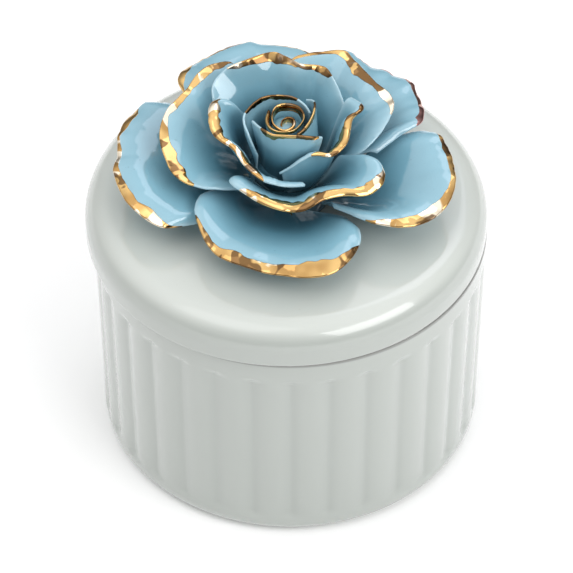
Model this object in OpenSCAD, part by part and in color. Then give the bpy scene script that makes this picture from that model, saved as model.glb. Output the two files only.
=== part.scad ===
// Round fluted porcelain trinket box. Its drop-in lid carries a hand-formed
// rose, whose petals are luted one by one to a clay cone and a rolled bud.
// Units: mm. +Z is up, the front is -Y, the origin is under the pot's centre.

/* [View] */
// Which sub-part to draw

/* [Pot] */
// Height of the rim that the lid sits on
pot_h = 56.3; // [40:0.1:90]
// Outer radius at the rim
pot_r = 44.1; // [30:0.1:70]
// How much narrower the wall is at the bottom, on the radius
pot_draft = 0.7; // [0:0.1:4]
// Radius of the mouth
mouth_r = 40.2; // [25:0.1:66]
// Radius of the inside at the floor
well_r = 38.6; // [20:0.1:64]
// Thickness of the floor
floor_t = 4; // [2.5:0.1:8]
// Rounding between the wall and the underside
foot_round = 3.7; // [1:0.1:8]
// Rounding between the inside wall and the floor
well_round = 7; // [1:0.1:12]
// Rounding of the rim's two edges
rim_round = 0.7; // [0.2:0.1:1.8]

/* [Flutes] */
// Number of flutes around the wall
flute_n = 32; // [12:1:60]
// Depth of a flute
flute_depth = 0.65; // [0.2:0.05:2]
// Radius of the round tool that a flute is the mark of
flute_tool_r = 3.4; // [1:0.1:8]
// Height of a flute's lower end
flute_z0 = 4.6; // [2:0.1:20]
// Height of a flute's upper end
flute_z1 = 51; // [25:0.1:85]
// Length of the run-out at each end
flute_runout = 2.2; // [0.5:0.1:8]

/* [Lid] */
// Largest radius of the lid
lid_r = 45; // [30:0.1:72]
// Height of the lid over the rim, at its middle
lid_h = 10.3; // [6:0.1:20]
// Drop of the lid's top from the middle to the start of the edge rounding
lid_dome = 0.6; // [0:0.1:4]
// Rounding of the lid's top edge
lid_round = 6.1; // [1:0.1:9]
// Rounding of the lid's lower edge
lid_lip_round = 0.8; // [0.2:0.1:2]
// Radius of the flat place under the rose
seat_r = 11; // [6:0.1:20]
// Play between the flange and the mouth, on the radius
lid_play = 1.3; // [0.3:0.1:3]
// Depth of the locating flange under the rim
flange_h = 5.2; // [2:0.1:12]
// Thickness of the flange
flange_t = 3; // [1.5:0.1:6]
// Thickness of the lid's top
lid_t = 4.6; // [2.5:0.1:8]
// How far the lid sits off the pot's middle, to the left
lid_shift = 1; // [0:0.1:1.2]

/* [Rose] */
// Thickness of a petal along its middle
petal_t = 1.2; // [0.6:0.1:2.5]
// Thickness of the three petals around the bud
heart_t = 0.9; // [0.5:0.1:2]
// Share of that thickness left at a petal's edge
edge_share = 0.4; // [0.2:0.05:1]
// Steps across a petal
petal_na = 18; // [8:2:40]
// Steps from a petal's root to its rim
petal_nv = 8; // [4:1:20]
// Radius of the stem under the rolled bud
bud_r = 4.8; // [2:0.1:6]
// Thickness of the bud's strip
bud_t = 0.8; // [0.4:0.1:1.5]
// Height of the bud's top over the lid's seat
bud_h = 22.2; // [15:0.1:35]

/* [Hidden] */
$fn = 96;
glaze = [0.86, 0.88, 0.86];
blue = [0.51, 0.69, 0.78];
seat_z = pot_h + lid_h;
flange_r = mouth_r - lid_play;

// A petal is [rim, root, slopes]:
//   rim     points [direction in degrees, reach, height over the seat]
//   root    [radius at the first side, height over the seat, share of the
//            rim's spread, radius at the last side]
//   slopes  [slope at the root, slope at the rim, pull at the root, at the rim]
outer_root = [8.5, 2, 0.5, 8.5];
raised_root = [8.3, 3.4, 0.5, 8.3];
outer_slopes = [5, -30, 0.33, 0.22];
middle_root = [8.1, 4.8, 0.6, 8.1];
middle_slopes = [30, 15, 0.33, 0.25];

outer_left_p = [[[139, 18, 4.5], [144, 28, 8], [149, 33, 10.5], [156, 36, 11],
    [168, 37.5, 10.5], [180, 37, 10], [188, 38, 9.5], [200, 37, 8.5],
    [212, 34, 7], [217, 30, 6], [221, 20, 4]], outer_root, outer_slopes];
outer_back_left_p = [[[70, 20, 5], [75, 30, 9], [83, 33.5, 11], [98, 35.5, 11.5],
    [108, 37, 11.5], [122, 35.5, 11.5], [130, 34.5, 12.5], [137, 33, 12.5],
    [142, 28, 11.5], [142, 20, 8.5]], raised_root, outer_slopes];
outer_front_p = [[[202, 12, 6], [206, 18, 7.5], [217, 25, 9], [238, 30.6, 7],
    [252, 31.8, 6.5], [267, 33, 6], [281, 34, 6], [290, 33.5, 6.5],
    [301, 30, 7], [308, 26, 6.5], [313, 20, 4.5]], outer_root, outer_slopes];
outer_right_p = [[[306, 18, 8.5], [314, 28.5, 9.5], [322, 34, 9], [333, 37, 8.5],
    [344, 38, 9.5], [358, 36.5, 10.5], [368, 34.5, 10.5], [374, 31.5, 10],
    [376, 27, 8.5], [374, 19, 4.5]], outer_root, outer_slopes];
outer_back_right_p = [[[4, 20, 10], [12, 27, 12.5], [17, 31.5, 12.5],
    [28, 34, 12], [39, 35.5, 11.5], [48, 35, 11], [59, 35, 10.5],
    [68, 36, 12], [74, 30, 12], [76, 20, 8.5]], raised_root, outer_slopes];

middle_left_p = [[[112, 14, 12], [118, 23, 17.5], [128, 25.5, 19.5],
    [140, 25.5, 19.5], [153, 25, 19], [168, 27, 18], [182, 27.5, 16],
    [200, 26, 13.5], [214, 21, 12], [226, 14, 9.5]], middle_root, middle_slopes];
middle_right_p = [[[350, 12, 10], [354, 17, 13.5], [364, 20.5, 15.5],
    [377, 24.5, 17.5], [386, 25.5, 18], [398, 24.5, 19], [413, 25.5, 19.5],
    [422, 26.5, 20], [436, 23.5, 20], [449, 21, 18], [456, 13, 12]],
    middle_root, middle_slopes];
middle_front_p = [[[222, 12.5, 11], [224, 17, 14], [238, 17.5, 13.5],
    [252, 18.5, 13], [267, 19.5, 12.5], [280, 20, 12.5], [294, 19.5, 14],
    [307, 20.5, 14], [320, 24, 13.5], [334, 24, 14.5], [342, 20, 15],
    [346, 13, 13]], [8, 5.6, 0.6, 8], [30, -50, 0.33, 0.25]];

inner_back_p = [[[8, 12.5, 13], [24, 14, 17], [33, 14.6, 20], [52, 15.6, 23.8],
    [62, 15.7, 24.3], [78, 14.6, 24.5], [91, 16.2, 25], [101, 17.3, 25.5],
    [120, 17.6, 24.8], [135, 19.2, 23.3], [150, 18.8, 21], [160, 16, 15.5]],
    [8, 6.4, 0.8, 8], [60, 45, 0.4, 0.25]];
inner_left_p = [[[150, 10, 17.5], [156, 14, 21], [163, 16.5, 22],
    [178, 16.5, 21.5], [194, 16, 20], [212, 13.5, 19], [230, 14, 17.5],
    [250, 15, 16.4], [262, 14.8, 15.5], [274, 14.4, 14.8], [287, 13.8, 13.9]],
    [7.6, 7, 0.8, 7.9], [55, -40, 0.45, 0.2]];
inner_right_p = [[[262, 9.7, 14], [276, 9.8, 16], [289, 10, 17.8],
    [300, 10.4, 18.8], [308, 11.4, 19], [316, 13.2, 18.8], [324, 14, 19.2],
    [335, 14.6, 20.3], [349, 14.2, 21], [360, 14.4, 21.6], [367, 16.6, 22],
    [373, 16.9, 22.1], [383, 15.6, 21.8]],
    [8.3, 7.2, 0.8, 7.9], [60, -35, 0.45, 0.2]];

heart_back_p = [[[220, 8.3, 15.5], [216, 9.1, 18.5], [208, 9.5, 21],
    [195, 9.5, 22], [177, 9, 22.5], [152, 8, 22.5], [130, 7.5, 22.5],
    [104, 6.5, 22.5], [75, 5.8, 22.5], [44, 5.5, 22], [20, 5.5, 21.5]],
    [7.6, 9.4, 0.9, 5.6], [85, 85, 0.4, 0.3]];
heart_front_p = [[[196, 7.6, 22.6], [214, 7.3, 22.9], [228, 7.4, 23.2],
    [248, 7.7, 23.4], [268, 7.6, 23.5], [291, 8.2, 23.4], [306, 9.2, 22.9],
    [320, 10, 21.8]], [6, 9.2, 0.9, 7.8], [90, 85, 0.4, 0.3]];
heart_right_p = [[[292, 6.8, 22.6], [307, 6.4, 23], [327, 6, 23.4],
    [353, 6, 23.6], [375, 6.5, 23.6], [386, 6.9, 23.4], [396, 7, 23],
    [408, 6.8, 22.3]], [6.4, 9.2, 0.9, 7.4], [90, 90, 0.4, 0.3]];

// The bud's rolled strip, from its outer end inwards: [direction in degrees,
// reach, height over the bud's top]
bud_path = [[148, 4.5, -0.3], [190, 4.4, -0.2], [222, 4.9, -0.1],
    [245, 5.1, 0], [268, 4.9, 0], [296, 4.5, 0], [338, 3.9, 0], [368, 3.9, 0],
    [402, 4.1, 0], [430, 4.2, 0], [454, 4.3, -0.1], [476, 4.3, -0.2],
    [502, 3.7, -0.4], [542, 3.1, -0.6], [574, 3.2, -0.7], [608, 3.4, -0.8],
    [630, 3.3, -0.9], [660, 2.6, -1], [702, 1.9, -1.1], [746, 1.6, -1.2],
    [800, 1.1, -1.3], [880, 0.9, -1.4], [930, 1.3, -1.5]];

// ---------- small helpers ----------

// Points of an arc, from angle a0 to a1, both ends included
function arc(cx, cz, r, a0, a1, n = 8) =
    [for (i = [0:n]) let (a = a0 + (a1 - a0) * i / n)
        [cx + r * cos(a), cz + r * sin(a)]];

// Cylinder coordinates to a point
function at(c) = [c[1] * cos(c[0]), c[1] * sin(c[0]), c[2]];

// Smooth curve through the points p, with t from 0 to 1
function through(p, t) =
    let (n = len(p), s = t * (n - 1), i = min(floor(s), n - 2), f = s - i,
         a = i > 0 ? p[i - 1] : 2 * p[0] - p[1], b = p[i], c = p[i + 1],
         d = i < n - 2 ? p[i + 2] : 2 * p[n - 1] - p[n - 2])
    0.5 * (2 * b + (c - a) * f + (2 * a - 5 * b + 4 * c - d) * f * f
           + (3 * b - a - 3 * c + d) * f * f * f);

// Unit vector
function unit(v) = v / max(norm(v), 1e-9);

// Point of a petal: t across it, v from the root (0) to the rim (1)
function petal_point(p, t, v) =
    let (rim = p[0], root = p[1], sl = p[2],
         mid = (rim[0][0] + rim[len(rim) - 1][0]) / 2,
         q = through([for (c = rim) at(c)], t),
         az = through([for (c = rim) [c[0]]], t)[0],
         r = at([mid + (az - mid) * root[2],
                 root[0] + (root[3] - root[0]) * t, root[1]]),
         h = unit([q[0] - r[0], q[1] - r[1], 0]), l = norm(q - r),
         p1 = r + l * sl[2] * [h[0] * cos(sl[0]), h[1] * cos(sl[0]), sin(sl[0])],
         p2 = q - l * sl[3] * [h[0] * cos(sl[1]), h[1] * cos(sl[1]), sin(sl[1])])
    pow(1 - v, 3) * r + 3 * pow(1 - v, 2) * v * p1
    + 3 * (1 - v) * v * v * p2 + pow(v, 3) * q;

// Unit normal of the middle surface g at column i, row j
function sheet_normal(g, i, j) =
    let (ni = len(g[0]) - 1, nj = len(g) - 1,
         du = g[j][min(i + 1, ni)] - g[j][max(i - 1, 0)],
         dv = g[min(j + 1, nj)][i] - g[max(j - 1, 0)][i])
    unit(cross(du, dv));

// Thickness factor: full inside, thin along the rim and the two sides
function sheet_taper(i, j, ni, nj) =
    (j == nj || i == 0 || i == ni) ? edge_share : 1;

// Closed solid of thickness t around the middle surface g (rows of points)
module sheet(g, t, taper = true) {
    ni = len(g[0]) - 1;
    nj = len(g) - 1;
    w = ni + 1;
    nb = w * (nj + 1);
    side = [1, -1];
    pts = [for (s = side) for (j = [0:nj]) for (i = [0:ni])
        g[j][i] + s * sheet_normal(g, i, j) * t / 2
            * (taper ? sheet_taper(i, j, ni, nj) : 1)];
    top = [for (j = [0:nj - 1]) for (i = [0:ni - 1])
        let (k = j * w + i) each [[k, k + w + 1, k + 1], [k, k + w, k + w + 1]]];
    low = [for (f = top) [nb + f[0], nb + f[2], nb + f[1]]];
    loop = [for (i = [0:ni]) i, for (j = [1:nj]) j * w + ni,
            for (i = [1:ni]) nj * w + ni - i, for (j = [1:nj - 1]) (nj - j) * w];
    n = len(loop);
    wall = [for (m = [0:n - 1]) let (a = loop[m], b = loop[(m + 1) % n])
        each [[a, b, nb + b], [a, nb + b, nb + a]]];
    polyhedron(pts, concat(top, low, wall));
}

module on_lid() { translate([-lid_shift, 0, seat_z]) children(); }

module petal(p, t = petal_t) {
    g = [for (j = [0:petal_nv]) [for (i = [0:petal_na])
        petal_point(p, i / petal_na, j / petal_nv)]];
    color(blue) on_lid() sheet(g, t);
}

// ---------- pot ----------

module pot_body() {
    r0 = pot_r - pot_draft;
    rotate_extrude()
        polygon(concat(
            [[0, 0]],
            arc(r0 - foot_round, foot_round, foot_round, -90, 0),
            arc(pot_r - rim_round, pot_h - rim_round, rim_round, 0, 90, 5),
            arc(mouth_r + rim_round, pot_h - rim_round, rim_round, 90, 180, 5),
            arc(well_r - well_round, floor_t + well_round, well_round, 0, -90),
            [[0, floor_t]]));
}

// One flute's tool: a round bar with a cone at each end
module flute_tool() {
    l = flute_z1 - flute_z0;
    r_end = flute_tool_r - flute_depth - 0.1;
    rotate_extrude($fn = 48)
        polygon([[0, 0], [r_end, 0], [flute_tool_r, flute_runout],
                 [flute_tool_r, l - flute_runout], [r_end, l], [0, l]]);
}

module pot() {
    tilt = atan(pot_draft / pot_h);
    color(glaze) difference() {
        pot_body();
        for (k = [0:flute_n - 1])
            rotate([0, 0, 270 + k * 360 / flute_n])
                translate([pot_r - pot_draft * (1 - flute_z0 / pot_h)
                           + flute_tool_r - flute_depth, 0, flute_z0])
                    rotate([0, tilt, 0]) flute_tool();
    }
}

// ---------- lid ----------

module lid() {
    z0 = pot_h;
    under = seat_z - lid_t;
    bore = flange_r - flange_t;
    color(glaze) translate([-lid_shift, 0, 0])
        rotate_extrude()
            polygon(concat(
                [[0, under], [0, seat_z], [seat_r, seat_z]],
                [for (k = [1:5]) let (u = k / 6)
                    [seat_r + (lid_r - lid_round - seat_r) * u,
                     seat_z - lid_dome * u * u]],
                arc(lid_r - lid_round, seat_z - lid_dome - lid_round,
                    lid_round, 90, 0, 10),
                arc(lid_r - lid_lip_round, z0 + lid_lip_round,
                    lid_lip_round, 0, -90, 4),
                [[flange_r, z0]],
                arc(flange_r - 1, z0 - flange_h + 1, 1, 0, -90, 4),
                arc(bore + 1, z0 - flange_h + 1, 1, -90, -180, 4),
                arc(bore - 3, under - 3, 3, 0, 90, 5)));
}

// ---------- rose ----------

module rose_base() {
    color(blue) on_lid()
        rotate_extrude()
            polygon([[0, 0], [10.6, 0], [9.7, 1.4], [9.2, 3], [8.9, 5],
                     [8.6, 7], [8.2, 8.8], [7.5, 10.4], [6.2, 11.2], [0, 11.2]]);
}

// Middle surface of the bud's strip: t along it, v from its foot to its top.
// It opens a little towards the top.
function bud_point(t, v) =
    let (c = through([for (p = bud_path) at(p)], t), open = 0.78 + 0.22 * v)
    [c[0] * open, c[1] * open, 15 + (bud_h + c[2] - 15) * v];

module rose_core() {
    g = [for (j = [0:2]) [for (i = [0:72]) bud_point(i / 72, j / 2)]];
    color(blue) on_lid() {
        rotate_extrude()
            polygon([[0, 11.2], [4.4, 11.2], [4.5, 13], [bud_r, 15],
                     [bud_r, 16.5], [0, 16.5]]);
        sheet(g, bud_t, false);
    }
}

module heart_back() { petal(heart_back_p, heart_t); }
module heart_right() { petal(heart_right_p, heart_t); }
module heart_front() { petal(heart_front_p, heart_t); }
module inner_back() { petal(inner_back_p); }
module inner_left() { petal(inner_left_p); }
module inner_right() { petal(inner_right_p); }
module middle_left() { petal(middle_left_p); }
module middle_right() { petal(middle_right_p); }
module middle_front() { petal(middle_front_p); }
module outer_left() { petal(outer_left_p); }
module outer_front() { petal(outer_front_p); }
module outer_right() { petal(outer_right_p); }
module outer_back_right() { petal(outer_back_right_p); }
module outer_back_left() { petal(outer_back_left_p); }

pot();
lid();
rose_base();
rose_core();
heart_back();
heart_right();
heart_front();
inner_back();
inner_left();
inner_right();
middle_left();
middle_right();
middle_front();
outer_left();
outer_front();
outer_right();
outer_back_right();
outer_back_left();
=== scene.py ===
import math

import bmesh
import bpy
import numpy as np
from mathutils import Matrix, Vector, noise


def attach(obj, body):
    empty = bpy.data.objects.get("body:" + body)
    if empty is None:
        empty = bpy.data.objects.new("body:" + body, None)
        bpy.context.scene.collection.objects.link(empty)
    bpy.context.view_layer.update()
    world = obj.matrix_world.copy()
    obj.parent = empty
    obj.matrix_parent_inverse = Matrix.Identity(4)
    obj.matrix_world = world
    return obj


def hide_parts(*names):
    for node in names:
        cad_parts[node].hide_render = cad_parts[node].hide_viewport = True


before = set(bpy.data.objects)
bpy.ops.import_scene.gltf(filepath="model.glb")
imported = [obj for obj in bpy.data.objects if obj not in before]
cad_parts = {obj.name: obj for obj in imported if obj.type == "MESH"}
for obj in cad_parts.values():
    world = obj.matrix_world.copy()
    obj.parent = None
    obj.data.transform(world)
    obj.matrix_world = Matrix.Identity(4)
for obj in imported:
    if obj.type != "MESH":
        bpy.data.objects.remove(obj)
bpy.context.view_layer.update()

MM = 0.001

# ---------------------------------------------------------------- the sizes
# The same driving sizes as the CAD model, in mm.
POT_H, POT_R, POT_DRAFT = 56.3, 44.1, 0.7
MOUTH_R, WELL_R, FLOOR_T = 40.2, 38.6, 4.0
FOOT_ROUND, WELL_ROUND, RIM_ROUND = 3.7, 7.0, 0.7
FLUTES, FLUTE_DEPTH, FLUTE_RUNOUT = 32, 0.65, 1.8
FLUTE_Z0, FLUTE_Z1 = 4.6, 51.0
LID_R, LID_H, LID_DOME = 45.0, 10.3, 0.6
LID_ROUND, LIP_ROUND, SEAT_R = 6.1, 0.8, 11.0
FLANGE_R, FLANGE_H, FLANGE_T, LID_T = 38.9, 5.2, 3.0, 4.6
LID_X = -1.0
SEAT_Z = POT_H + LID_H

# Visual detail of the white pieces, in mm unless said otherwise.
GROOVE_GAIN, GROOVE_BLUNT = 1.25, 0.12  # depth over FLUTE_DEPTH; mm squared
WALL_MEAN_DENT, WALL_WOBBLE = 0.05, 0.05
SEAM_GAP, SEAM_START, SEAM_END = 0.45, MOUTH_R + 2.3, LID_R - 1.1
# Painted shade, as levels of the white glaze's painted-shade attribute: the walls and
# the lid's side, what a groove adds to the wall, the floor of the well, and the
# painted shadow line at the seam.
PAINTED_WALL_SHADE, PAINTED_GROOVE_SHADE, PAINTED_WELL_SHADE, PAINTED_SEAM_SHADOW = 0.6, 0.1, 0.5, 2.0

# ---------------------------------------------------------------- mesh tools


def mesh_object(name, verts, faces, attributes):
    """A smooth-shaded mesh object from points in mm, with float attributes on
    its points."""
    me = bpy.data.meshes.new(name)
    me.from_pydata([tuple(v) for v in np.asarray(verts) * MM], [], faces)
    me.validate()
    for key, values in attributes.items():
        layer = me.attributes.new(key, "FLOAT", "POINT")
        layer.data.foreach_set("value", np.asarray(values, dtype=np.float32))
    bm = bmesh.new()
    bm.from_mesh(me)
    bmesh.ops.recalc_face_normals(bm, faces=bm.faces)
    bm.to_mesh(me)
    bm.free()
    me.polygons.foreach_set("use_smooth", [True] * len(me.polygons))
    ob = bpy.data.objects.new(name, me)
    bpy.context.scene.collection.objects.link(ob)
    return ob


def arc(cx, cz, r, a0, a1, n):
    """Points of an arc in the (radius, height) plane, angles in degrees."""
    return [(cx + r * math.cos(math.radians(a0 + (a1 - a0) * i / n)),
             cz + r * math.sin(math.radians(a0 + (a1 - a0) * i / n)))
            for i in range(n + 1)]


def line(a, b, n):
    """n points from a to b, a left out."""
    return [(a[0] + (b[0] - a[0]) * i / n, a[1] + (b[1] - a[1]) * i / n)
            for i in range(1, n + 1)]


def smoothstep(x, lo, hi):
    t = np.clip((np.asarray(x, float) - lo) / (hi - lo), 0, 1)
    return t * t * (3 - 2 * t)


def ring_faces(rows, columns):
    """Faces between rings of points, given as (first point, count). A ring of
    one point is on the axis."""
    faces = []
    for (a, na), (b, nb) in zip(rows, rows[1:]):
        for k in range(columns):
            m = (k + 1) % columns
            if na == 1:
                faces.append((a, b + k, b + m))
            elif nb == 1:
                faces.append((a + k, b, a + m))
            else:
                faces.append((a + k, b + k, b + m, a + m))
    return faces


def spun(name, profile, columns, shift_x, dent, marks):
    """Revolves a profile that starts and ends on the axis. dent(angle, r, z, i)
    is how far point i of the profile moves inwards there, or None for a true
    round; marks(i, r, z, dent) gives its attributes."""
    theta = np.linspace(0, 2 * math.pi, columns, endpoint=False)
    verts, attrs, rows = [], {}, []
    for i, (r, z) in enumerate(profile):
        on_axis = r < 1e-6
        th = theta[:1] if on_axis else theta
        rows.append((len(verts), len(th)))
        for t in th:
            d = dent(t, r, z, i) if dent and not on_axis else 0.0
            verts.append(((r - d) * math.cos(t) + shift_x,
                          (r - d) * math.sin(t), z))
            for key, val in marks(i, r, z, d).items():
                attrs.setdefault(key, []).append(val)
    return mesh_object(name, verts, ring_faces(rows, columns), attrs)


# ---------------------------------------------------------------- materials


def new_material(name):
    mat = bpy.data.materials.new(name)
    mat.use_nodes = True
    nt = mat.node_tree
    bsdf = nt.nodes["Principled BSDF"]
    return mat, nt, bsdf


def noise_tex(nt, scale, detail, rough=0.5, distort=0.0):
    """Noise on the piece's own coordinates; scale is in waves per metre."""
    tc = nt.nodes.new("ShaderNodeTexCoord")
    n = nt.nodes.new("ShaderNodeTexNoise")
    n.inputs["Scale"].default_value = scale
    n.inputs["Detail"].default_value = detail
    n.inputs["Roughness"].default_value = rough
    n.inputs["Distortion"].default_value = distort
    nt.links.new(tc.outputs["Object"], n.inputs["Vector"])
    return n.outputs["Fac"]


def map_range(nt, value, lo, hi, to_lo, to_hi, smooth=False):
    """lo..hi to to_lo..to_hi, clamped; smooth eases both ends."""
    n = nt.nodes.new("ShaderNodeMapRange")
    n.interpolation_type = "SMOOTHSTEP" if smooth else "LINEAR"
    n.inputs["From Min"].default_value = lo
    n.inputs["From Max"].default_value = hi
    n.inputs["To Min"].default_value = to_lo
    n.inputs["To Max"].default_value = to_hi
    nt.links.new(value, n.inputs["Value"])
    return n.outputs["Result"]


def mix_color(nt, fac, a, b):
    n = nt.nodes.new("ShaderNodeMix")
    n.data_type = "RGBA"
    for socket, val in ((n.inputs[0], fac), (n.inputs[6], a), (n.inputs[7], b)):
        if isinstance(val, bpy.types.NodeSocket):
            nt.links.new(val, socket)
        else:
            socket.default_value = val if isinstance(val, float) else (*val, 1)
    return n.outputs[2]


def math_node(nt, op, a, b):
    n = nt.nodes.new("ShaderNodeMath")
    n.operation = op
    for socket, val in zip(n.inputs, (a, b)):
        if isinstance(val, bpy.types.NodeSocket):
            nt.links.new(val, socket)
        else:
            socket.default_value = val
    return n.outputs[0]


def attribute(nt, name):
    n = nt.nodes.new("ShaderNodeAttribute")
    n.attribute_name = name
    return n.outputs["Fac"]


def bump(nt, bsdf, height, strength, distance):
    n = nt.nodes.new("ShaderNodeBump")
    n.inputs["Strength"].default_value = strength
    n.inputs["Distance"].default_value = distance
    nt.links.new(height, n.inputs["Height"])
    nt.links.new(n.outputs["Normal"], bsdf.inputs["Normal"])


# Base colours, linear RGB. The white glaze's painted-shade attribute runs to the
# painted shade colour below at 1 and to SEAM_SHADE, the painted shadow at the seam, at
# 2.
WHITE_GLAZE = (0.560, 0.590, 0.555)
# painted shade of the walls, the lid's side, the grooves and the well
WHITE_PAINTED_SHADE = (0.375, 0.405, 0.380)
SEAM_SHADE = (0.260, 0.265, 0.250)
CLAY_SPECK = (0.50, 0.49, 0.44)
BARE_CLAY = (0.66, 0.63, 0.58)
BLUE_GLAZE = (0.220, 0.420, 0.515)
# blue where the glaze collects towards the roots, darkened with painted shade
BLUE_POOL_AND_SHADE = (0.110, 0.265, 0.345)
# painted shade, near black, deep in the gaps between and under the petals
BLUE_DEEP_SHADE = (0.040, 0.110, 0.150)
BLUE_THIN = (0.370, 0.570, 0.660)
GOLD = (0.720, 0.470, 0.190)
# the next two: a painted highlight and a painted dark reflection in the gold lustre
GOLD_HIGHLIGHT = (0.960, 0.850, 0.680)
GOLD_DARK_REFLECTION = (0.150, 0.080, 0.035)
GOLD_WARM = (0.360, 0.190, 0.060)
PURPLE = (0.480, 0.250, 0.250)
WHITE_IOR, WHITE_COAT, WHITE_COAT_ROUGH = 1.52, 0.8, 0.02
BLUE_IOR = 1.75


def shaded(color, factor):
    return tuple(c * factor for c in color)


def porcelain():
    """Cool white glaze with fine specks, darkened with painted shade on the walls,
    grooves, well floor and lid side, with a painted shadow line at the seam, and bare,
    grainy clay where the bare attribute is 1."""
    mat, nt, bsdf = new_material("white_glaze")
    cloud = map_range(nt, noise_tex(nt, 28, 2), 0.3, 0.7, 0, 1, True)
    base = mix_color(nt, cloud, WHITE_GLAZE, shaded(WHITE_GLAZE, 0.975))
    # painted shade: 1 gives the shaded white, 2 the painted seam shadow
    pool = attribute(nt, "pool")
    pooled_and_shaded = mix_color(nt, map_range(nt, pool, 0, 1, 0, 1), base, WHITE_PAINTED_SHADE)
    pooled_and_shaded = mix_color(nt, map_range(nt, pool, 1, 2, 0, 1), pooled_and_shaded, SEAM_SHADE)
    speck = map_range(nt, noise_tex(nt, 900, 1), 0.76, 0.80, 0, 0.25)
    dotted = mix_color(nt, speck, pooled_and_shaded, CLAY_SPECK)
    ragged = math_node(nt, "MULTIPLY", noise_tex(nt, 220, 3), 0.3)
    raw = map_range(nt, math_node(nt, "ADD", attribute(nt, "bare"), ragged),
                    0.62, 0.70, 0, 1, True)
    grain = map_range(nt, noise_tex(nt, 2600, 3), 0.3, 0.7, 0, 1)
    clay = mix_color(nt, grain, BARE_CLAY, shaded(BARE_CLAY, 0.88))
    nt.links.new(mix_color(nt, raw, dotted, clay), bsdf.inputs["Base Color"])
    gloss = map_range(nt, noise_tex(nt, 60, 3), 0.3, 0.7, 0.20, 0.26)
    rough = math_node(nt, "ADD", math_node(nt, "MULTIPLY", raw, 0.40), gloss)
    nt.links.new(rough, bsdf.inputs["Roughness"])
    grit = math_node(nt, "MULTIPLY", noise_tex(nt, 2600, 3), raw)
    wave = math_node(nt, "ADD", noise_tex(nt, 45, 2),
                     math_node(nt, "MULTIPLY", grit, 0.25))
    bump(nt, bsdf, wave, 0.25, 0.5 * MM)
    bsdf.inputs["IOR"].default_value = WHITE_IOR
    bsdf.inputs["Coat Weight"].default_value = WHITE_COAT
    bsdf.inputs["Coat Roughness"].default_value = WHITE_COAT_ROUGH
    return mat


def rose_glaze():
    """Light-blue glaze, thin and pale on the edges, deeper where the glaze collects
    towards the roots and darkened there with painted shade, with brushed gold lustre
    where the gold attribute is above zero; the lustre carries painted highlights and
    painted dark reflections."""
    mat, nt, bsdf = new_material("blue_glaze")
    cloud = map_range(nt, noise_tex(nt, 70, 3, 0.55), 0.3, 0.7, 0, 1, True)
    base = mix_color(nt, cloud, BLUE_GLAZE, shaded(BLUE_GLAZE, 1.10))
    # glaze collecting towards the roots, then painted shade, near black, deep in the
    # gaps
    pool = attribute(nt, "pool")
    shallow = mix_color(nt, map_range(nt, pool, 0, 0.7, 0, 1), base, BLUE_POOL_AND_SHADE)
    deep = map_range(nt, pool, 0.7, 1, 0, 1)
    pooled_and_shaded = mix_color(nt, deep, shallow, BLUE_DEEP_SHADE)
    thin = mix_color(nt, attribute(nt, "edge"), pooled_and_shaded, BLUE_THIN)
    speck = map_range(nt, noise_tex(nt, 1300, 1), 0.74, 0.78, 0, 0.35)
    dotted = mix_color(nt, speck, thin, shaded(BLUE_GLAZE, 0.6))
    # the band's border wanders by a quarter of a millimetre, as brushed
    brush = math_node(nt, "MULTIPLY", noise_tex(nt, 260, 2), 0.5)
    brushed = math_node(nt, "ADD", attribute(nt, "gold"), brush)
    mask = map_range(nt, math_node(nt, "SUBTRACT", brushed, 0.25),
                     -0.05, 0.05, 0, 1, True)
    # warm patches in the lustre, with painted dark reflections and painted highlights
    tint = map_range(nt, noise_tex(nt, 110, 2), 0.45, 0.65, 0, 0.7, True)
    painted_dark_reflection = map_range(nt, noise_tex(nt, 125, 2, 0.5, 0.9), 0.545, 0.575, 0, 0.90, True)
    pale = map_range(nt, noise_tex(nt, 105, 2, 0.5, 1.2), 0.575, 0.61, 0, 0.9, True)
    lustre = mix_color(nt, pale, mix_color(nt, tint, GOLD, GOLD_WARM), GOLD_HIGHLIGHT)
    lustre = mix_color(nt, painted_dark_reflection, lustre, GOLD_DARK_REFLECTION)
    gold = mix_color(nt, attribute(nt, "warm"), lustre, PURPLE)
    nt.links.new(mix_color(nt, mask, dotted, gold), bsdf.inputs["Base Color"])
    nt.links.new(mask, bsdf.inputs["Metallic"])
    gloss = map_range(nt, noise_tex(nt, 120, 3), 0.3, 0.7, 0.05, 0.10)
    rough = math_node(nt, "ADD", gloss, math_node(nt, "MULTIPLY", mask, 0.02))
    nt.links.new(rough, bsdf.inputs["Roughness"])
    beaten = math_node(nt, "MULTIPLY", noise_tex(nt, 170, 1.5), mask)
    wave = math_node(nt, "ADD", noise_tex(nt, 110, 2),
                     math_node(nt, "MULTIPLY", beaten, 1.6))
    bump(nt, bsdf, wave, 0.5, 0.6 * MM)
    bsdf.inputs["IOR"].default_value = BLUE_IOR
    return mat


# ---------------------------------------------------------------- pot and lid


def flute_dent(theta, r, z):
    """Depth of the nearest flute at a point of the wall: soft lobes that meet
    in narrow grooves, with short run-outs at the ends."""
    pitch = 2 * math.pi / FLUTES
    off = (theta - math.radians(270) + pitch / 2) % pitch - pitch / 2
    reach = math.sqrt((off * r) ** 2 + GROOVE_BLUNT) / (pitch / 2 * r)
    end = min(z - FLUTE_Z0, FLUTE_Z1 - z)
    return (GROOVE_GAIN * FLUTE_DEPTH * max(0.0, 1 - reach) ** 2
            * float(smoothstep(end, 0, FLUTE_RUNOUT)))


def wobble(theta, z, amount, seed):
    """A slow unevenness round a wall, up to the given amount."""
    p = Vector((math.cos(theta) * 1.3, math.sin(theta) * 1.3, z * 0.02 + seed))
    return amount * noise.noise(p)


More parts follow.
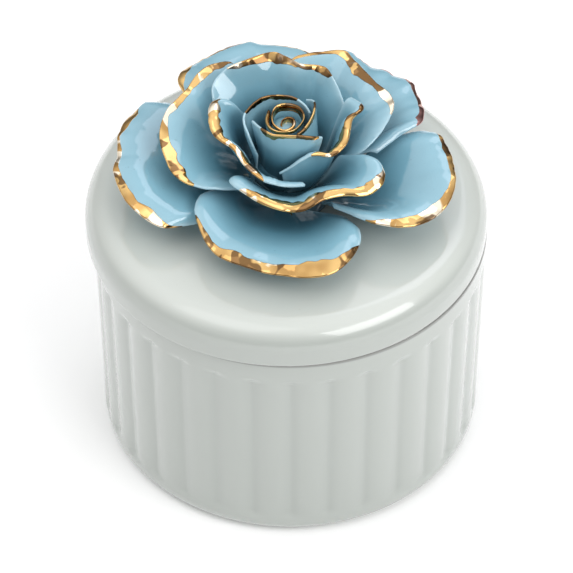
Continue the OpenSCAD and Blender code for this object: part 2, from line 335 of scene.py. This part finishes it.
def make_pot(mat):
    r0 = POT_R - POT_DRAFT
    wall = (line((r0, FOOT_ROUND), (r0 + 0.03, 12), 16)
            + line((r0 + 0.03, 12), (POT_R - 0.03, 46), 12)
            + line((POT_R - 0.03, 46), (POT_R, POT_H - RIM_ROUND), 18))
    foot = arc(r0 - FOOT_ROUND, FOOT_ROUND, FOOT_ROUND, -90, 0, 10)
    rim = (arc(POT_R - RIM_ROUND, POT_H - RIM_ROUND, RIM_ROUND, 0, 90, 6)[1:]
           + line((POT_R - RIM_ROUND, POT_H), (MOUTH_R + RIM_ROUND, POT_H), 3)[:-1]
           + arc(MOUTH_R + RIM_ROUND, POT_H - RIM_ROUND, RIM_ROUND, 90, 180, 6))
    inner = (line((MOUTH_R, POT_H - RIM_ROUND),
                  (WELL_R, FLOOR_T + WELL_ROUND), 10)[:-1]
             + arc(WELL_R - WELL_ROUND, FLOOR_T + WELL_ROUND, WELL_ROUND,
                   0, -90, 10)
             + [(20, FLOOR_T), (8, FLOOR_T), (0, FLOOR_T)])
    under = [(0, 0), (12, 0), (24, 0), (30, 0), (33, 0), (36, 0), (38.5, 0)]
    profile = under + foot + wall + rim + inner
    first, last = len(under), len(under + foot + wall) - 1

    def dent(t, r, z, i):
        if first < i < last:
            return (flute_dent(t, r, z) + WALL_MEAN_DENT
                    + wobble(t, z, WALL_WOBBLE, 3))
        return 0.0

    def marks(i, r, z, d):
        below = i < first + 2
        top = abs(z - POT_H) < 0.12 and MOUTH_R + 0.3 < r < POT_R - 1.5
        # painted shadow line under the lid's edge
        if z > POT_H - RIM_ROUND - 0.05 and r > MOUTH_R + 2.2:
            pool = PAINTED_SEAM_SHADOW
        # painted shade on the walls, more in each groove, and on the floor of the well
        elif i < last:
            pool = PAINTED_WALL_SHADE + PAINTED_GROOVE_SHADE * min(1.0, max(0.0, d / FLUTE_DEPTH)) ** 2
        else:
            pool = PAINTED_WELL_SHADE if z < 12 and i > last else 0.0
        return {"bare": 1.0 if (below and r > 30) or top else 0.0, "pool": pool}

    pot = spun("pot_body", profile, FLUTES * (16), 0, dent, marks)
    pot.data.materials.append(mat)
    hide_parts("pot")
    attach(pot, "pot")


def make_lid(mat):
    top_r = LID_R - LID_ROUND
    dome = [(0, SEAT_Z), (4, SEAT_Z), (8, SEAT_Z), (SEAT_R, SEAT_Z)]
    dome += [(SEAT_R + (top_r - SEAT_R) * k / 12,
              SEAT_Z - LID_DOME * (k / 12) ** 2) for k in range(1, 12)]
    under = SEAT_Z - LID_T
    bore = FLANGE_R - FLANGE_T
    profile = (dome
               + arc(top_r, SEAT_Z - LID_DOME - LID_ROUND, LID_ROUND, 90, 0, 16)
               + line((LID_R, SEAT_Z - LID_DOME - LID_ROUND),
                      (LID_R, POT_H + LIP_ROUND), 3)
               + arc(LID_R - LIP_ROUND, POT_H + LIP_ROUND, LIP_ROUND, 0, -75, 5)[1:]
               + [(SEAM_END, POT_H + SEAM_GAP), (SEAM_START, POT_H + SEAM_GAP),
                  (MOUTH_R + 2, POT_H), (FLANGE_R + 0.8, POT_H),
                  (FLANGE_R + 0.15, POT_H), (FLANGE_R, POT_H - 0.15)]
               + line((FLANGE_R, POT_H - 0.15), (FLANGE_R, POT_H - FLANGE_H + 1), 3)
               + arc(FLANGE_R - 1, POT_H - FLANGE_H + 1, 1, 0, -90, 4)[1:]
               + arc(bore + 1, POT_H - FLANGE_H + 1, 1, -90, -180, 4)
               + line((bore, POT_H - FLANGE_H + 1), (bore, under - 3), 3)[:-1]
               + arc(bore - 3, under - 3, 3, 0, 90, 6)
               + [(24, under), (12, under), (5, under), (0, under)])

    def marks(i, r, z, d):
        seat = z < POT_H + 0.05 and FLANGE_R - 1.2 < r < LID_R - 2.2
        # painted shade on the lid's side
        steep = smoothstep(r, LID_R - 2.5, LID_R - 0.1) if z > POT_H else 0
        # painted shadow line on the lower lip at the seam
        lip = PAINTED_SEAM_SHADOW if z < POT_H + LIP_ROUND / 2 and r > LID_R - 1.3 else 0
        return {"bare": 1.0 if seat else 0.0,
                "pool": max(PAINTED_WALL_SHADE * float(steep), lip)}

    lid = spun("lid_body", profile, 192, LID_X, None, marks)
    lid.data.materials.append(mat)
    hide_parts("lid")
    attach(lid, "lid")


# ---------------------------------------------------------------- the rose

# A petal's rim: [direction in degrees, reach, height over the seat], in mm.
# root: [radius at one side, height, share of the spread, radius at the other].
# slopes: [slope at the root, slope at the rim, pull at the root, at the rim].
# gold: [direction, width of the lustre band in mm].
OUTER_ROOT, RAISED_ROOT = [8.5, 2, 0.5, 8.5], [8.3, 3.4, 0.5, 8.3]
OUTER_SLOPES = [5, -30, 0.33, 0.22]
MIDDLE_ROOT, MIDDLE_SLOPES = [8.1, 4.8, 0.6, 8.1], [30, 15, 0.33, 0.25]

PETALS = {
    "outer_left": dict(
        rim=[[139, 18, 4.5], [144, 28, 8], [149, 33, 10.5], [156, 36, 11],
             [168, 37.5, 10.5], [180, 37, 10], [188, 38, 9.5], [200, 37, 8.5],
             [212, 34, 7], [217, 30, 6], [221, 20, 4]],
        root=OUTER_ROOT, slopes=OUTER_SLOPES,
        gold=[[156, 0], [160, 1.8], [167, 1.4], [172, 0.4], [178, 0.8],
              [186, 1], [192, 1.6], [200, 1.9], [210, 2.2], [214, 1.2], [218, 0]]),
    "outer_back_left": dict(
        rim=[[70, 20, 5], [75, 30, 9], [83, 33.5, 11], [98, 35.5, 11.5],
             [108, 37, 11.5], [122, 35.5, 11.5], [130, 34.5, 12.5],
             [137, 33, 12.5], [142, 28, 11.5], [142, 20, 8.5]],
        root=RAISED_ROOT, slopes=OUTER_SLOPES,
        gold=[[76, 0], [80, 0.6], [88, 0.5], [98, 0.25], [106, 0.6],
              [112, 0.9], [118, 0.6], [126, 0.3], [131, 1.2], [137, 1.7],
              [140, 1.2], [142, 0]]),
    "outer_front": dict(
        rim=[[202, 12, 6], [206, 18, 7.5], [217, 25, 9], [238, 30.6, 7],
             [252, 31.8, 6.5], [267, 33, 6], [281, 34, 6], [290, 33.5, 6.5],
             [301, 30, 7], [308, 26, 6.5], [313, 20, 4.5]],
        root=OUTER_ROOT, slopes=OUTER_SLOPES,
        gold=[[220, 0], [226, 0.8], [238, 1.5], [252, 2.1], [262, 1.9],
              [270, 2.2], [278, 3.2], [285, 3.6], [291, 2.4], [299, 1.4],
              [303, 0]]),
    "outer_right": dict(
        rim=[[306, 18, 8.5], [314, 28.5, 9.5], [322, 34, 9], [333, 37, 8.5],
             [344, 38, 9.5], [358, 36.5, 10.5], [368, 34.5, 10.5],
             [374, 31.5, 10], [376, 27, 8.5], [374, 19, 4.5]],
        root=OUTER_ROOT, slopes=OUTER_SLOPES,
        gold=[[311, 0], [315, 1], [320, 2], [328, 2.6], [335, 2.5],
              [341, 1.6], [348, 0.9], [356, 1.2], [362, 1.4], [367, 0.7],
              [371, 0]]),
    "outer_back_right": dict(
        rim=[[4, 20, 10], [12, 27, 12.5], [17, 31.5, 12.5], [28, 34, 12],
             [39, 35.5, 11.5], [48, 35, 11], [59, 35, 10.5], [68, 36, 12],
             [74, 30, 12], [76, 20, 8.5]],
        root=RAISED_ROOT, slopes=OUTER_SLOPES,
        gold=[[14, 0], [17, 1.3], [24, 1], [34, 0.9], [42, 0.5], [60, 0.4],
              [68, 0]]),
    "middle_left": dict(
        rim=[[112, 14, 12], [118, 23, 17.5], [128, 25.5, 19.5],
             [140, 25.5, 19.5], [153, 25, 19], [168, 27, 18], [182, 27.5, 16],
             [200, 26, 13.5], [214, 21, 12], [226, 14, 9.5]],
        root=MIDDLE_ROOT, slopes=MIDDLE_SLOPES,
        gold=[[120, 0], [125, 1], [133, 1.7], [146, 1.4], [156, 1.1],
              [164, 1.3], [169, 0.8], [175, 1.5], [186, 2.3], [197, 2.9],
              [204, 2.2], [210, 0]]),
    "middle_right": dict(
        rim=[[350, 12, 10], [354, 17, 13.5], [364, 20.5, 15.5],
             [377, 24.5, 17.5], [386, 25.5, 18], [398, 24.5, 19],
             [413, 25.5, 19.5], [422, 26.5, 20], [436, 23.5, 20],
             [449, 21, 18], [456, 13, 12]],
        root=MIDDLE_ROOT, slopes=MIDDLE_SLOPES,
        gold=[[374, 0], [378, 0.6], [383, 1.6], [389, 1.5], [396, 1.1],
              [404, 1.6], [411, 2.2], [418, 1.7], [424, 0.9], [434, 0.6],
              [446, 0.5], [452, 0]]),
    "middle_front": dict(
        rim=[[222, 12.5, 11], [224, 17, 14], [238, 17.5, 13.5],
             [252, 18.5, 13], [267, 19.5, 12.5], [280, 20, 12.5],
             [294, 19.5, 14], [307, 20.5, 14], [320, 24, 13.5],
             [334, 24, 14.5], [342, 20, 15], [346, 13, 13]],
        root=[8, 5.6, 0.6, 8], slopes=[30, -50, 0.33, 0.25],
        gold=[[234, 0], [240, 0.9], [252, 1.8], [262, 2.2], [272, 2.8],
              [283, 2.3], [296, 1.6], [308, 1.5], [316, 1.9], [323, 2.6],
              [331, 1.8], [336, 0.6], [339, 0]]),
    "inner_back": dict(
        rim=[[8, 12.5, 13], [24, 14, 17], [33, 14.6, 20], [52, 15.6, 23.8],
             [62, 15.7, 24.3], [78, 14.6, 24.5], [91, 16.2, 25],
             [101, 17.3, 25.5], [120, 17.6, 24.8], [135, 19.2, 23.3],
             [150, 18.8, 21], [160, 16, 15.5]],
        root=[8, 6.4, 0.8, 8], slopes=[60, 45, 0.4, 0.25],
        gold=[[48, 0], [52, 1.4], [60, 1.7], [66, 0.9], [78, 0.8], [88, 1.2],
              [96, 2.4], [101, 2.4], [106, 1.7], [118, 1.3], [127, 1],
              [133, 0]]),
    "inner_left": dict(
        rim=[[150, 10, 17.5], [156, 14, 21], [163, 16.5, 22],
             [178, 16.5, 21.5], [194, 16, 20], [212, 13.5, 19],
             [230, 14, 17.5], [250, 15, 16.4], [262, 14.8, 15.5],
             [274, 14.4, 14.8], [287, 13.8, 13.9]],
        root=[7.6, 7, 0.8, 7.9], slopes=[55, -40, 0.45, 0.2],
        gold=[[157, 0], [161, 0.9], [170, 1.6], [182, 1.8], [192, 2],
              [200, 1.1], [208, 0.8], [216, 0.9], [224, 1.6], [231, 2],
              [240, 1.8], [247, 0.9], [252, 0]]),
    "inner_right": dict(
        rim=[[262, 9.7, 14], [276, 9.8, 16], [289, 10, 17.8],
             [300, 10.4, 18.8], [308, 11.4, 19], [316, 13.2, 18.8],
             [324, 14, 19.2], [335, 14.6, 20.3], [349, 14.2, 21],
             [360, 14.4, 21.6], [367, 16.6, 22], [373, 16.9, 22.1],
             [383, 15.6, 21.8]],
        root=[8.3, 7.2, 0.8, 7.9], slopes=[60, -35, 0.45, 0.2],
        gold=[[300, 0], [307, 0.5], [314, 1.3], [320, 1.8], [327, 2.5],
              [335, 2.7], [346, 2.3], [354, 1.4], [362, 1], [370, 0.9],
              [374, 0]]),
    "heart_back": dict(
        rim=[[220, 8.3, 15.5], [216, 9.1, 18.5], [208, 9.5, 21],
             [195, 9.5, 22], [177, 9, 22.5], [152, 8, 22.5],
             [130, 7.5, 22.5], [104, 6.5, 22.5], [75, 5.8, 22.5],
             [44, 5.5, 22], [20, 5.5, 21.5]],
        root=[7.6, 9.4, 0.9, 5.6], slopes=[85, 85, 0.4, 0.3],
        gold=[[62, 0], [70, 0.5], [95, 0.8], [110, 0.9], [120, 0.5],
              [140, 0.9], [155, 0.8], [172, 0.4], [178, 0]]),
    "heart_front": dict(
        rim=[[196, 7.6, 22.6], [214, 7.3, 22.9], [228, 7.4, 23.2],
             [248, 7.7, 23.4], [268, 7.6, 23.5], [291, 8.2, 23.4],
             [306, 9.2, 22.9], [320, 10, 21.8]],
        root=[6, 9.2, 0.9, 7.8], slopes=[90, 85, 0.4, 0.3],
        gold=[[222, 0], [228, 0.9], [240, 1.3], [250, 1.3], [258, 0.7],
              [275, 0.6], [300, 0.6], [312, 0.4], [316, 0]]),
    "heart_right": dict(
        rim=[[292, 6.8, 22.6], [307, 6.4, 23], [327, 6, 23.4],
             [353, 6, 23.6], [375, 6.5, 23.6], [386, 6.9, 23.4],
             [396, 7, 23], [408, 6.8, 22.3]],
        root=[6.4, 9.2, 0.9, 7.4], slopes=[90, 90, 0.4, 0.3],
        gold=[[288, 0], [294, 0.7], [330, 0.9], [360, 0.9], [380, 0.6],
              [387, 0]]),
}
# Thickness of a petal, of a heart petal, and of both at the rim, in mm.
PETAL_T, HEART_T, EDGE_T = 1.2, 0.9, 0.55
# Hand-forming: noise scales in waves per mm, and heights in mm.
SLOW_SCALE, PINCH_SCALE, CRIMP_SCALE = 0.11, 0.26, 0.5
SLOW_WAVE, PINCH, CRIMP, CRIMP_MEAN = 0.45, 0.75, 0.45, 0.2
UNDER_GOLD = 0.45  # share of the lustre's width that wraps under a petal
WARM_PETAL, WARMTH = "outer_back_right", 0.8


def spline(points, t):
    """Smooth curve through the points, t from 0 to 1 as an array."""
    p = np.asarray(points, float)
    n = len(p)
    s = np.clip(t, 0, 1) * (n - 1)
    i = np.minimum(s.astype(int), n - 2)
    f = (s - i)[..., None]
    ext = np.vstack([2 * p[0] - p[1], p, 2 * p[-1] - p[-2]])
    a, b, c, d = ext[i], ext[i + 1], ext[i + 2], ext[i + 3]
    return 0.5 * (2 * b + (c - a) * f + (2 * a - 5 * b + 4 * c - d) * f ** 2
                  + (3 * b - a - 3 * c + d) * f ** 3)


def petal_surface(spec, t, v):
    """Points of the petal's middle surface and the rim's direction, for
    arrays t (across) and v (root to rim)."""
    rim, root, sl = np.array(spec["rim"], float), spec["root"], spec["slopes"]
    ang = np.radians(rim[:, 0])
    q = spline(np.stack([rim[:, 1] * np.cos(ang), rim[:, 1] * np.sin(ang),
                         rim[:, 2]], -1), t)
    az = spline(rim[:, :1], t)[..., 0]
    mid = (rim[0, 0] + rim[-1, 0]) / 2
    ra = np.radians(mid + (az - mid) * root[2])
    rr = root[0] + (root[3] - root[0]) * t
    r = np.stack([rr * np.cos(ra), rr * np.sin(ra),
                  np.full_like(rr, root[1])], -1)
    h = (q - r) * [1, 1, 0]
    h /= np.linalg.norm(h, axis=-1, keepdims=True) + 1e-9
    length = np.linalg.norm(q - r, axis=-1, keepdims=True)
    up = np.array([0, 0, 1.0])
    s0, s1 = math.radians(sl[0]), math.radians(sl[1])
    p1 = r + length * sl[2] * (h * math.cos(s0) + up * math.sin(s0))
    p2 = q - length * sl[3] * (h * math.cos(s1) + up * math.sin(s1))
    w = v[..., None]
    point = ((1 - w) ** 3 * r + 3 * (1 - w) ** 2 * w * p1
             + 3 * (1 - w) * w ** 2 * p2 + w ** 3 * q)
    return point, az


def cumulative(points, axis):
    """Arc length along an axis of a grid of points, from its start."""
    step = np.linalg.norm(np.diff(points, axis=axis), axis=-1)
    pad = [(0, 0), (0, 0)]
    pad[axis] = (1, 0)
    return np.cumsum(np.pad(step, pad), axis=axis)


def upper_normals(p):
    """Unit normals of a grid of points, on the side that its middle has up."""
    n = np.cross(np.gradient(p, axis=1), np.gradient(p, axis=0))
    n /= np.linalg.norm(n, axis=-1, keepdims=True) + 1e-12
    return -n if n[p.shape[0] // 2, p.shape[1] // 2, 2] < 0 else n


def noise_grid(points, scale, seed):
    return np.array([[noise.noise(Vector(q) * scale + Vector((seed, 0, 0)))
                      for q in row] for row in points])


def gold_width(spec, az, seed):
    """Width of the lustre band at each rim direction: uneven, as brushed."""
    at, width = np.array(spec["gold"], float).T
    band = np.interp(az, at, width)
    ripple = np.array([noise.noise(Vector((a * 0.2, seed, 0))) for a in az.flat])
    return np.where(band > 0, band * (1 + 0.35 * ripple.reshape(az.shape)), -1)


def make_petal(name, spec, mat, seed):
    heart = name.startswith("heart")
    na, nv = ((72, 40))
    t, v = np.meshgrid(np.linspace(0, 1, na + 1),
                       1 - (1 - np.linspace(0, 1, nv + 1)) ** 1.5)
    p, az = petal_surface(spec, t, v)
    from_rim = cumulative(p[::-1], 0)[::-1]
    across = cumulative(p, 1)
    side = np.minimum(across, across[:, -1:] - across)
    edge_d = np.minimum(from_rim, side)
    n = upper_normals(p)
    # hand-formed: slow waves all over, pinches along the rim
    slow = noise_grid(p, SLOW_SCALE, seed)
    along = np.stack([p[-1]] * (nv + 1))
    pinch = noise_grid(along, PINCH_SCALE, seed + 9)
    crimp = np.abs(noise_grid(along, CRIMP_SCALE, seed + 21)) - CRIMP_MEAN
    fade = np.exp(-edge_d / (1.2 if heart else 3.0)) * smoothstep(side, 1, 9)
    amp = 0.25 if heart else 1.0
    lift = (SLOW_WAVE * slow * amp * smoothstep(v, 0.15, 0.7)
            + amp * fade * (PINCH * pinch + CRIMP * crimp))
    p = p + n * lift[..., None]
    n = upper_normals(p)
    thick = HEART_T if heart else PETAL_T
    half = 0.5 * (EDGE_T + (thick - EDGE_T) * smoothstep(edge_d, 0, 6))
    band = gold_width(spec, az, seed)
    # glaze collecting towards the root, with painted shade of the gaps between petals
    # there
    pool = 1 - smoothstep(v, 0.18, 0.85)
    edge = np.exp(-edge_d / 0.9)

    verts, gold, pool_and_shade_values, edges = [], [], [], []

    def add(points, g, po, ed):
        start = len(verts)
        verts.extend(points.reshape(-1, 3))
        gold.extend(np.asarray(g).ravel())
        pool_and_shade_values.extend(np.asarray(po).ravel())
        edges.extend(np.asarray(ed).ravel())
        return start

    top = add(p + n * half[..., None], band - edge_d, pool, edge)
    low = add(p - n * half[..., None], band * (1.0 if heart else UNDER_GOLD) - edge_d,
              pool, edge * 0.6)
    w = na + 1
    faces = []
    for j in range(nv):
        for i in range(na):
            a = j * w + i
            quad = (a, a + 1, a + w + 1, a + w)
            faces.append(tuple(top + k for k in quad))
            faces.append(tuple(low + k for k in reversed(quad)))
    # the rounded edge, from the root up one side, round the rim and back
    ring = ([(j, 0) for j in range(nv + 1)] + [(nv, i) for i in range(1, na + 1)]
            + [(j, na) for j in range(nv - 1, -1, -1)])
    jj, ii = np.array([k[0] for k in ring]), np.array([k[1] for k in ring])
    mid, nn, hh = p[jj, ii], n[jj, ii], half[jj, ii]
    run = np.gradient(mid, axis=0)
    out = np.cross(run, nn)
    out /= np.linalg.norm(out, axis=-1, keepdims=True) + 1e-12
    inward = p[np.clip(jj, 1, nv - 1), np.clip(ii, 1, na - 1)] - mid
    out *= -np.sign(np.sum(out * inward, -1, keepdims=True) + 1e-12)
    loops = [[top + j * w + i for j, i in ring]]
    steps = 4
    for k in range(1, steps):
        a = math.pi * k / steps
        pts = mid + (nn * math.cos(a) + out * math.sin(a)) * hh[:, None]
        s = add(pts, band[jj, ii], pool[jj, ii], np.ones(len(ring)))
        loops.append(list(range(s, s + len(ring))))
    loops.append([low + j * w + i for j, i in ring])
    for la, lb in zip(loops, loops[1:]):
        for k in range(len(ring) - 1):
            faces.append((la[k], lb[k], lb[k + 1], la[k + 1]))
    # the root's end, hidden in the clay cone
    for i in range(na):
        faces.append((top + i, low + i, low + i + 1, top + i + 1))
    for col in (0, -1):
        faces.append(tuple(lp[col] for lp in loops))
    pts = np.array(verts) + [LID_X, 0, SEAT_Z]
    warm = WARMTH if name == WARM_PETAL else 0.0
    ob = mesh_object("petal_" + name, pts, faces,
                     {"gold": gold, "pool": pool_and_shade_values, "edge": edges,
                      "warm": np.full(len(pts), warm)})
    ob.data.materials.append(mat)
    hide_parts(name)
    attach(ob, "lid")


# The bud's rolled strip, from its outer end inwards: [direction, reach, height
# over the bud's top], and its stem's radius, thickness, top and foot.
BUD_PATH = [[148, 4.5, -0.3], [190, 4.4, -0.2], [222, 4.9, -0.1],
            [245, 5.1, 0], [268, 4.9, 0], [296, 4.5, 0], [338, 3.9, 0],
            [368, 3.9, 0], [402, 4.1, 0], [430, 4.2, 0], [454, 4.3, -0.1],
            [476, 4.3, -0.2], [502, 3.7, -0.4], [542, 3.1, -0.6],
            [574, 3.2, -0.7], [608, 3.4, -0.8], [630, 3.3, -0.9],
            [660, 2.6, -1], [702, 1.9, -1.1], [746, 1.6, -1.2],
            [800, 1.1, -1.3], [880, 0.9, -1.4], [930, 1.3, -1.5]]
BUD_R, BUD_T, BUD_H, BUD_Z = 4.8, 0.8, 22.2, 15.0
BUD_GOLD_OUT, BUD_GOLD_IN = 1.7, 0.8  # depth of the lustre below the roll's top
NO_GOLD = -5.0


def make_bud(mat):
    """The rolled strip: a round stem that opens in a spiral wall."""
    n = 180
    t = np.linspace(0, 1, n)
    spiral = np.array(BUD_PATH, float)
    a = np.radians(spiral[:, 0])
    curve = spline(np.stack([spiral[:, 1] * np.cos(a), spiral[:, 1] * np.sin(a),
                             spiral[:, 2]], -1), t)
    path, top = curve[:, :2], BUD_H + curve[:, 2] + 0.06 * np.sin(t * 23)
    run = np.gradient(path, axis=0)
    run /= np.linalg.norm(run, axis=-1, keepdims=True)
    nrm = np.stack([run[:, 1], -run[:, 0]], -1)
    h = BUD_T / 2 * (0.75 + 0.25 * np.sin(t * 17 + 1))
    section = [(-1, 0.0), (-1, 0.6), (-1, 0.93), (-0.75, 0.98), (-0.3, 1.0),
               (0.3, 1.0), (0.75, 0.98), (1, 0.93), (1, 0.6), (1, 0.0)]
    verts, gold, faces = [], [], []
    for k in range(n):
        for s, f in section:
            xy = path[k] * (0.78 + 0.22 * f) + nrm[k] * h[k] * s
            z = BUD_Z + (top[k] - BUD_Z) * f
            verts.append((xy[0], xy[1], z))
            depth = BUD_GOLD_OUT if s < 0 else BUD_GOLD_IN
            gold.append(depth - (top[k] - z))
    m = len(section)
    for k in range(n - 1):
        for s in range(m - 1):
            b = k * m + s
            faces.append((b, b + 1, b + m + 1, b + m))
    for k in range(n - 1):
        faces.append((k * m, k * m + m, k * m + 2 * m - 1, k * m + m - 1))
    faces.append(tuple(range(m)))
    faces.append(tuple(range((n - 1) * m, n * m)))
    stem = [(0, 11.2), (4.2, 11.2), (4.4, 11.4), (4.5, 13), (BUD_R, 15),
            (BUD_R, 16.3), (BUD_R - 0.3, 16.5), (3.3, 16.6), (3.1, 19.2),
            (1.6, 19.6), (0, 19.6)]
    cols = 32
    rows = []
    for rr, z in stem:
        th = [0] if rr == 0 else [2 * math.pi * c / cols for c in range(cols)]
        rows.append((len(verts), len(th)))
        for x in th:
            verts.append((rr * math.cos(x), rr * math.sin(x), z))
            gold.append(NO_GOLD)
    faces.extend(ring_faces(rows, cols))
    zs = np.array(verts)[:, 2]
    pts = np.array(verts) + [LID_X, 0, SEAT_Z]
    # painted shade, darker low in the roll
    pool = 0.8 * (1 - smoothstep(zs, 16, 21))
    ob = mesh_object("rose_bud", pts, faces,
                     {"gold": gold, "pool": pool, "edge": np.zeros(len(pts))})
    ob.data.materials.append(mat)
    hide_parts("rose_core")
    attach(ob, "lid")


def make_cone(mat):
    """The clay cone under the petals, with finger marks."""
    prof = [(0, 0.02), (8, 0.02), (10.3, 0.05), (10.5, 0.35), (9.7, 1.4),
            (9.2, 3), (8.9, 5), (8.6, 7), (8.2, 8.8), (7.5, 10.4),
            (6.2, 11.2), (3, 11.2), (0, 11.2)]

    def dent(t, r, z, i):
        return 0.25 + wobble(t * 3, z * 20, 0.25, 7) if 2 < i < 10 else 0.0

    def marks(i, r, z, d):
        # the darkest painted shade all over, as the cone lies under the petals
        return {"gold": NO_GOLD, "edge": 0.0, "pool": 1.0}

    ob = spun("rose_cone", [(r, z + SEAT_Z) for r, z in prof], 64, LID_X,
              dent, marks)
    ob.data.materials.append(mat)
    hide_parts("rose_base")
    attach(ob, "lid")


# ---------------------------------------------------------------- the set


def make_floor():
    bm = bmesh.new()
    bmesh.ops.create_grid(bm, x_segments=8, y_segments=8, size=FLOOR_HALF)
    me = bpy.data.meshes.new("floor")
    bm.to_mesh(me)
    bm.free()
    ob = bpy.data.objects.new("floor", me)
    bpy.context.scene.collection.objects.link(ob)
    mat, _, bsdf = new_material("floor_white")
    bsdf.inputs["Base Color"].default_value = (*[FLOOR_WHITE] * 3, 1)
    bsdf.inputs["Roughness"].default_value = 0.9
    bsdf.inputs["Specular IOR Level"].default_value = 0.1
    bsdf.inputs["Emission Color"].default_value = (1, 1, 1, 1)
    bsdf.inputs["Emission Strength"].default_value = FLOOR_GLOW
    me.materials.append(mat)


# Softboxes: azimuth and elevation in degrees, width and height in metres,
# radiance of the face, colour. All stand LIGHT_DISTANCE from LIGHT_AIM.
LIGHT_AIM, LIGHT_DISTANCE = Vector((0, 0, 55 * MM)), 0.9
LIGHTS = {
    "window_right_front": (-42, 37, 0.66, 0.40, 4.3, (1, 1, 1)),
    "window_back_right": (58, 52, 0.45, 0.36, 1.3, (0.90, 0.90, 1.00)),
    "window_left_front": (-138, 66, 0.6, 0.5, 0.85, (1, 1, 1)),
}
# The room's brightness against a direction's up, right and back parts:
# from, to, strength at from, strength at to.
CEILING_RAMP = (0.20, 1.0, 0.14, 1.38)
LEFT_RAMP = (0.0, -1.0, 0.0, 0.38)
FRONT_RAMP = (-0.95, -0.30, 0.40, 1.0)
FLOOR_HALF, FLOOR_WHITE, FLOOR_GLOW = 12.0, 0.88, 0.13
CAMERA_ELEVATION, CAMERA_DISTANCE = math.radians(45.25), 0.900
CAMERA_TARGET, CAMERA_LENS, CAMERA_SENSOR = Vector((-0.94, 0, 35.9)) * MM, 247.85, 36


def softbox(name, azimuth, elevation, width, height, radiance, color):
    """A rectangular softbox that faces LIGHT_AIM."""
    az, el = math.radians(azimuth), math.radians(elevation)
    out = Vector((math.cos(az) * math.cos(el), math.sin(az) * math.cos(el),
                  math.sin(el)))
    data = bpy.data.lights.new(name, "AREA")
    data.shape = "RECTANGLE"
    data.size, data.size_y = width, height
    data.energy = radiance * math.pi * width * height
    data.color = color
    ob = bpy.data.objects.new(name, data)
    ob.location = LIGHT_AIM + out * LIGHT_DISTANCE
    ob.rotation_mode = "QUATERNION"
    ob.rotation_quaternion = (-out).to_track_quat("-Z", "Y")
    bpy.context.scene.collection.objects.link(ob)


def make_world():
    """A room that brightens towards the ceiling and the left, and is dimmer
    at the front."""
    world = bpy.data.worlds.new("studio")
    bpy.context.scene.world = world
    world.use_nodes = True
    nt = world.node_tree
    tc = nt.nodes.new("ShaderNodeTexCoord")
    sep = nt.nodes.new("ShaderNodeSeparateXYZ")
    nt.links.new(tc.outputs["Generated"], sep.inputs[0])
    ceiling = map_range(nt, sep.outputs["Z"], *CEILING_RAMP, True)
    left = map_range(nt, sep.outputs["X"], *LEFT_RAMP, True)
    front = map_range(nt, sep.outputs["Y"], *FRONT_RAMP, True)
    total = math_node(nt, "MULTIPLY", math_node(nt, "ADD", ceiling, left), front)
    nt.links.new(total, nt.nodes["Background"].inputs["Strength"])
    nt.nodes["Background"].inputs["Color"].default_value = (1, 1, 1, 1)


def make_camera():
    """A long lens, straight in front and above."""
    data = bpy.data.cameras.new("camera")
    data.sensor_width, data.lens = CAMERA_SENSOR, CAMERA_LENS
    ob = bpy.data.objects.new("camera", data)
    back = Vector((0, -math.cos(CAMERA_ELEVATION), math.sin(CAMERA_ELEVATION)))
    ob.location = CAMERA_TARGET + back * CAMERA_DISTANCE
    ob.rotation_mode = "QUATERNION"
    ob.rotation_quaternion = (-back).to_track_quat("-Z", "Y")
    data.clip_start, data.clip_end = 0.01, 20
    bpy.context.scene.collection.objects.link(ob)
    bpy.context.scene.camera = ob


def main():
    white, blue = porcelain(), rose_glaze()
    make_pot(white)
    make_lid(white)
    for k, (name, spec) in enumerate(PETALS.items()):
        make_petal(name, spec, blue, 10.0 + 3.7 * k)
    make_bud(blue)
    make_cone(blue)
    make_floor()
    make_world()
    for name, values in LIGHTS.items():
        softbox(name, *values)
    make_camera()
    scene = bpy.context.scene
    scene.view_settings.view_transform = "Standard"
    scene.view_settings.look = "None"
    scene.view_settings.exposure = 0.0


main()
